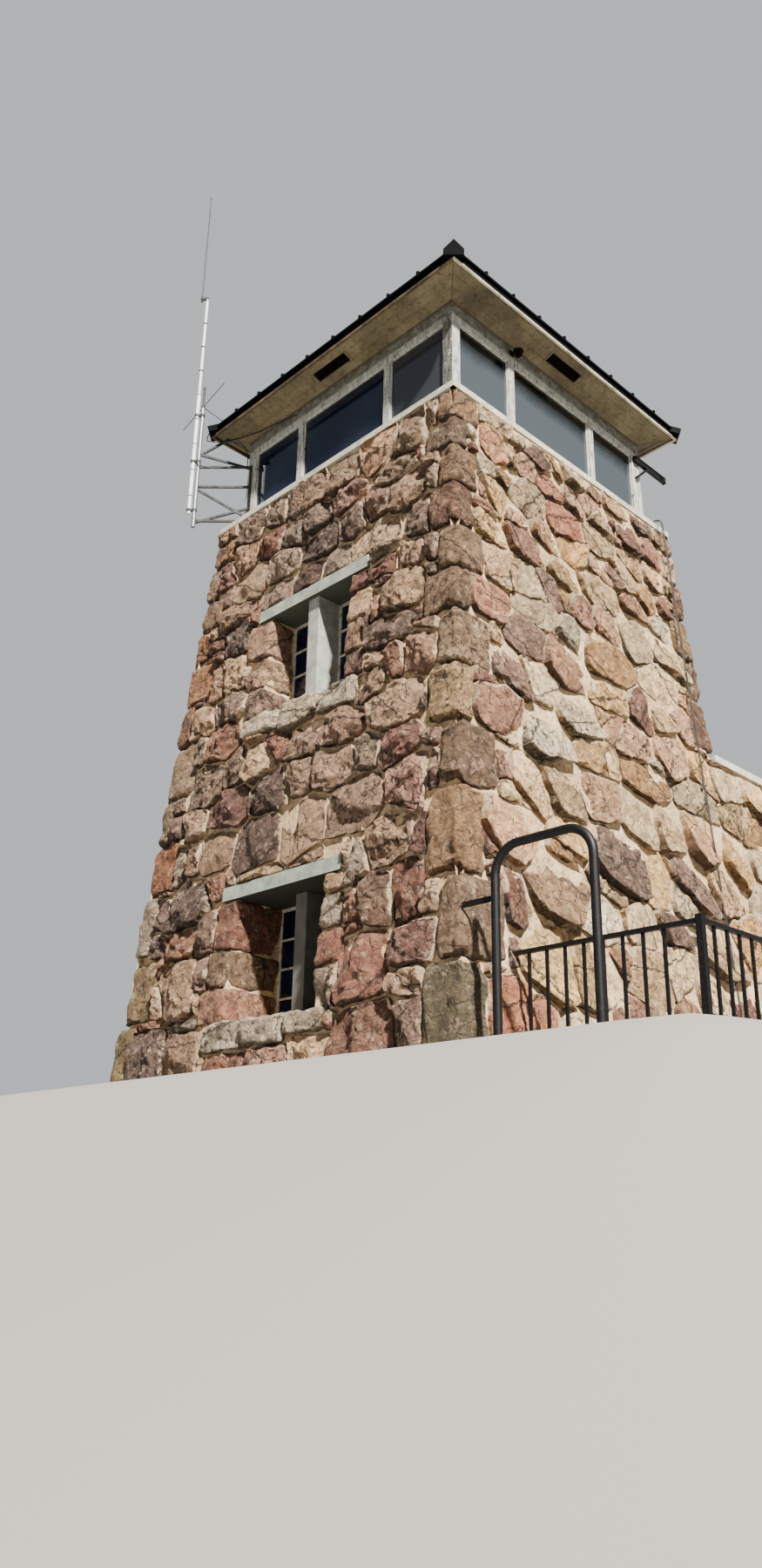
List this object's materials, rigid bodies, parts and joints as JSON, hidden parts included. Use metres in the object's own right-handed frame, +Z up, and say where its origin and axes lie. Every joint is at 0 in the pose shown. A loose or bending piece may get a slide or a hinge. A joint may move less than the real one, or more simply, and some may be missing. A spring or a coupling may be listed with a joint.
{
  "type": "fire lookout tower",
  "caption": "Square battered rubble-stone tower with a glazed lookout cab, wide-eaved hipped metal roof, radio mast, rear terrace and guard rail.",
  "frame": {"origin": "middle of the tower's shaft at ground level", "axes": "+Z up, -Y the front face with the windows, +X the side with the guard rail, +Y the terrace"},
  "size_m": [8.5506, 9.6922, 15.12],
  "materials": {
    "rubble_stone": "rough pitted volcanic rubble in buff mortar",
    "concrete": "weathered grey-green cast concrete",
    "floor_concrete": "float-finished concrete slab",
    "painted_wood": "chalky weathered white paint on boards",
    "soffit_paint": "stained cream paint on boards",
    "door_wood": "weathered vertical boards",
    "casement_steel": "old white paint",
    "window_glass": "clear glass",
    "roof_metal": "dark brown standing-seam sheet, satin",
    "vent_metal": "rusty pressed steel",
    "galvanised_steel": "dull galvanised steel",
    "aerial_white": "white fibreglass tube",
    "black_steel": "black paint, satin",
    "cable_jacket": "faded brown cable"
  },
  "bodies": {
    "root": {"aerial_clamps": "galvanised_steel", "aerial_leads": "cable_jacket", "back_cab_frame": "painted_wood", "back_cab_glass": "window_glass", "back_roof": "roof_metal", "back_wall": "rubble_stone", "cab_floor": "floor_concrete", "cable_clips": "galvanised_steel", "ceiling": "soffit_paint", "corner_cheeks": "painted_wood", "door_lintels": "concrete", "earth_lead": "cable_jacket", "eave_trim": "painted_wood", "entrance_door": "door_wood", "fascia": "roof_metal", "frieze": "soffit_paint", "front_cab_frame": "painted_wood", "front_cab_glass": "window_glass", "front_guard_rail": "black_steel", "front_roof": "roof_metal", "front_wall": "rubble_stone", "ground_floor": "floor_concrete", "ground_plane_aerial": "galvanised_steel", "hip_caps": "roof_metal", "left_cab_frame": "painted_wood", "left_cab_glass": "window_glass", "left_roof": "roof_metal", "left_wall": "rubble_stone", "lower_casements": "casement_steel", "lower_window_glass": "window_glass", "mast_bracket": "galvanised_steel", "mast_pipe": "galvanised_steel", "rail_arch": "black_steel", "right_cab_frame": "painted_wood", "right_cab_glass": "window_glass", "right_roof": "roof_metal", "right_wall": "rubble_stone", "rod_aerial": "aerial_white", "side_guard_rail": "black_steel", "sill_band": "concrete", "soffit": "soffit_paint", "soffit_lamp": "vent_metal", "soffit_vents": "vent_metal", "stay_arm": "black_steel", "terrace_back_wall": "rubble_stone", "terrace_coping": "concrete", "terrace_deck": "floor_concrete", "terrace_door": "door_wood", "terrace_left_wall": "rubble_stone", "terrace_right_wall": "rubble_stone", "upper_casements": "casement_steel", "upper_floor": "floor_concrete", "upper_window_glass": "window_glass", "wall_cable": "cable_jacket", "whip_aerial": "galvanised_steel", "window_lintels": "concrete", "window_mullions": "concrete"}
  },
  "joints": []
}
